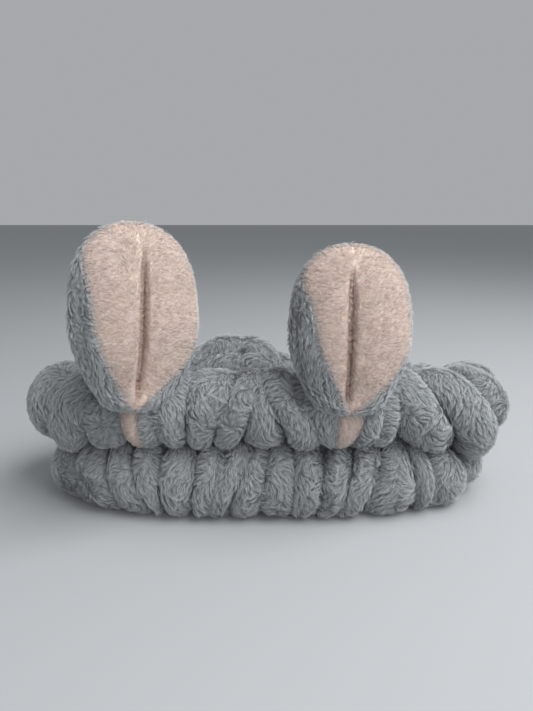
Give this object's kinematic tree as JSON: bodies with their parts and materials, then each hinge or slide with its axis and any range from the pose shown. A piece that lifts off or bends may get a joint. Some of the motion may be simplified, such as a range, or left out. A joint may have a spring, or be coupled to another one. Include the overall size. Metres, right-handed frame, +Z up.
{
  "type": "spa headband",
  "caption": "Stretchy plush fleece headband in two gathered rows, with two stuffed ears that stand up from its front.",
  "frame": {"origin": "on the surface that the band stands on, under the middle of the whole object", "axes": "+X along the band to the viewer's right when the ears face the viewer, +Y from the ears to the back of the band, +Z up"},
  "size_m": [0.236, 0.1159, 0.1377],
  "materials": {
    "grey_fleece": "deep brushed pile",
    "pink_fleece": "short brushed pile",
    "filling": "loose fibre",
    "elastic": "woven elastic tape",
    "thread": "polyester thread"
  },
  "bodies": {
    "front_band": {"band_cover_front": "grey_fleece", "midline_stitches_front": "thread", "left_ear_tail": "grey_fleece", "left_tail_stripe": "pink_fleece", "left_tail_stitches": "thread", "right_ear_tail": "grey_fleece", "right_tail_stripe": "pink_fleece", "right_tail_stitches": "thread"},
    "back_band": {"band_cover_back": "grey_fleece", "elastic_loop": "elastic", "elastic_lap_stitches": "thread", "midline_stitches_back": "thread", "back_join_stitches": "thread"},
    "left_ear": {"left_ear_front": "pink_fleece", "left_ear_back": "grey_fleece", "left_ear_filling": "filling", "left_ear_edge_seam": "thread"},
    "right_ear": {"right_ear_front": "pink_fleece", "right_ear_back": "grey_fleece", "right_ear_filling": "filling", "right_ear_edge_seam": "thread"}
  },
  "joints": [
    {"name": "band_stretch", "type": "slide", "parent": "front_band", "child": "back_band", "axis": [0, 1, 0], "range_m": [0, 0.08], "stiffness_N_per_m": 120, "deforming": ["elastic_loop"]},
    {"name": "left_ear_flex", "type": "hinge", "parent": "front_band", "child": "left_ear", "pos_m": [-0.0575, -0.0356, 0.0585], "axis": [1, 0, 0], "range_deg": [-20, 80], "stiffness_Nm_per_rad": 0.03},
    {"name": "right_ear_flex", "type": "hinge", "parent": "front_band", "child": "right_ear", "pos_m": [0.036, -0.0356, 0.0585], "axis": [1, 0, 0], "range_deg": [-20, 80], "stiffness_Nm_per_rad": 0.03}
  ]
}
